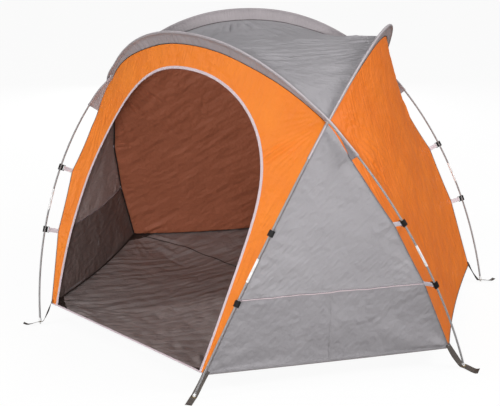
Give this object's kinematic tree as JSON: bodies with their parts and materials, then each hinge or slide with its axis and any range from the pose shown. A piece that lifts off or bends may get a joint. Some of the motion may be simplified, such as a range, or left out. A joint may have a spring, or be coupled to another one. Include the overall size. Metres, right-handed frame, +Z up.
{
  "type": "beach tent",
  "caption": "Free-standing beach tent: crossed bent poles in sleeves carry a taut fabric shell over a sewn floor, with an open arched door.",
  "frame": {"origin": "on the ground under the middle of the tent's box", "axes": "+X to the tent's left-hand side seen from the door looking out, that is to the right in front view; -Y out of the door; +Z up"},
  "size_m": [2.3558, 2.0517, 1.3453],
  "materials": {
    "orange_fabric": "woven polyester, slight sheen",
    "grey_fabric": "woven polyester, slight sheen",
    "floor_fabric": "coated woven floor cloth",
    "sleeve_fabric": "woven polyester, slight sheen",
    "piping_tape": "woven binding tape",
    "pale_webbing": "woven webbing",
    "dark_webbing": "woven webbing",
    "pole_fibreglass": "smooth fibreglass rod",
    "black_plastic": "moulded",
    "eyelet_brass": "pressed brass"
  },
  "bodies": {
    "tent": {"clip_tab_front_left_lower": "pale_webbing", "clip_tab_front_left_upper": "pale_webbing", "clip_tab_front_right_lower": "pale_webbing", "clip_tab_front_right_upper": "pale_webbing", "clip_tab_rear_left_lower": "pale_webbing", "clip_tab_rear_left_upper": "pale_webbing", "clip_tab_rear_right_lower": "pale_webbing", "clip_tab_rear_right_upper": "pale_webbing", "clip_tab_side_left_lower": "pale_webbing", "clip_tab_side_left_upper": "pale_webbing", "clip_tab_side_right_lower": "pale_webbing", "clip_tab_side_right_upper": "pale_webbing", "corner_strap_front_left": "dark_webbing", "corner_strap_front_right": "dark_webbing", "corner_strap_rear_left": "dark_webbing", "corner_strap_rear_right": "dark_webbing", "corner_strap_side_left": "dark_webbing", "corner_strap_side_right": "dark_webbing", "door_panel": "orange_fabric", "door_piping": "piping_tape", "eyelet_front_left": "eyelet_brass", "eyelet_front_right": "eyelet_brass", "eyelet_rear_left": "eyelet_brass", "eyelet_rear_right": "eyelet_brass", "eyelet_side_left": "eyelet_brass", "eyelet_side_right": "eyelet_brass", "grey_panel_left_lower": "grey_fabric", "grey_panel_left_upper": "grey_fabric", "grey_panel_rear_lower": "grey_fabric", "grey_panel_rear_upper": "grey_fabric", "grey_panel_right_lower": "grey_fabric", "grey_panel_right_upper": "grey_fabric", "groundsheet": "floor_fabric", "orange_panel_rear_left": "orange_fabric", "orange_panel_rear_right": "orange_fabric", "pole_crown_front": "pole_fibreglass", "pole_crown_left": "pole_fibreglass", "pole_crown_right": "pole_fibreglass", "pole_section_front_left": "pole_fibreglass", "pole_section_front_right": "pole_fibreglass", "pole_section_rear_left": "pole_fibreglass", "pole_section_rear_right": "pole_fibreglass", "pole_section_side_left": "pole_fibreglass", "pole_section_side_right": "pole_fibreglass", "roof_panel": "grey_fabric", "sleeve_front": "sleeve_fabric", "sleeve_left": "sleeve_fabric", "sleeve_right": "sleeve_fabric"},
    "clip_front_left_lower": {"pole_clip_front_left_lower": "black_plastic"},
    "clip_front_left_upper": {"pole_clip_front_left_upper": "black_plastic"},
    "clip_front_right_lower": {"pole_clip_front_right_lower": "black_plastic"},
    "clip_front_right_upper": {"pole_clip_front_right_upper": "black_plastic"},
    "clip_rear_left_lower": {"pole_clip_rear_left_lower": "black_plastic"},
    "clip_rear_left_upper": {"pole_clip_rear_left_upper": "black_plastic"},
    "clip_rear_right_lower": {"pole_clip_rear_right_lower": "black_plastic"},
    "clip_rear_right_upper": {"pole_clip_rear_right_upper": "black_plastic"},
    "clip_side_left_lower": {"pole_clip_side_left_lower": "black_plastic"},
    "clip_side_left_upper": {"pole_clip_side_left_upper": "black_plastic"},
    "clip_side_right_lower": {"pole_clip_side_right_lower": "black_plastic"},
    "clip_side_right_upper": {"pole_clip_side_right_upper": "black_plastic"}
  },
  "joints": [
    {"name": "clip_front_left_lower_swing", "type": "hinge", "parent": "tent", "child": "clip_front_left_lower", "pos_m": [-0.62615, -0.81407, 0.39921], "axis": [0.2021, -0.3877, -0.8994], "range_deg": [0, 80]},
    {"name": "clip_front_left_upper_swing", "type": "hinge", "parent": "tent", "child": "clip_front_left_upper", "pos_m": [-0.67257, -0.6805, 0.66009], "axis": [0.1079, -0.5121, -0.8521], "range_deg": [0, 80]},
    {"name": "clip_front_right_lower_swing", "type": "hinge", "parent": "tent", "child": "clip_front_right_lower", "pos_m": [0.62615, -0.81407, 0.39921], "axis": [0.2021, 0.3877, 0.8994], "range_deg": [0, 80]},
    {"name": "clip_front_right_upper_swing", "type": "hinge", "parent": "tent", "child": "clip_front_right_upper", "pos_m": [0.67257, -0.6805, 0.66009], "axis": [0.1079, 0.5121, 0.8521], "range_deg": [0, 80]},
    {"name": "clip_rear_left_lower_swing", "type": "hinge", "parent": "tent", "child": "clip_rear_left_lower", "pos_m": [-0.40506, 0.97203, 0.39921], "axis": [-0.4368, 0.0189, -0.8994], "range_deg": [0, 80]},
    {"name": "clip_rear_left_upper_swing", "type": "hinge", "parent": "tent", "child": "clip_rear_left_upper", "pos_m": [-0.26617, 0.94545, 0.66009], "axis": [-0.4974, 0.1626, -0.8521], "range_deg": [0, 80]},
    {"name": "clip_rear_right_lower_swing", "type": "hinge", "parent": "tent", "child": "clip_rear_right_lower", "pos_m": [0.40506, 0.97203, 0.39921], "axis": [-0.4368, -0.0189, 0.8994], "range_deg": [0, 80]},
    {"name": "clip_rear_right_upper_swing", "type": "hinge", "parent": "tent", "child": "clip_rear_right_upper", "pos_m": [0.26617, 0.94545, 0.66009], "axis": [-0.4974, -0.1626, 0.8521], "range_deg": [0, 80]},
    {"name": "clip_side_left_lower_swing", "type": "hinge", "parent": "tent", "child": "clip_side_left_lower", "pos_m": [-1.0312, -0.11249, 0.39921], "axis": [0.2348, -0.3689, 0.8994], "range_deg": [0, 80]},
    {"name": "clip_side_left_upper_swing", "type": "hinge", "parent": "tent", "child": "clip_side_left_upper", "pos_m": [-0.93874, -0.21948, 0.66009], "axis": [0.3895, -0.3495, 0.8521], "range_deg": [0, 80]},
    {"name": "clip_side_right_lower_swing", "type": "hinge", "parent": "tent", "child": "clip_side_right_lower", "pos_m": [1.0312, -0.11249, 0.39921], "axis": [0.2348, 0.3689, -0.8994], "range_deg": [0, 80]},
    {"name": "clip_side_right_upper_swing", "type": "hinge", "parent": "tent", "child": "clip_side_right_upper", "pos_m": [0.93874, -0.21948, 0.66009], "axis": [0.3895, 0.3495, -0.8521], "range_deg": [0, 80]}
  ]
}
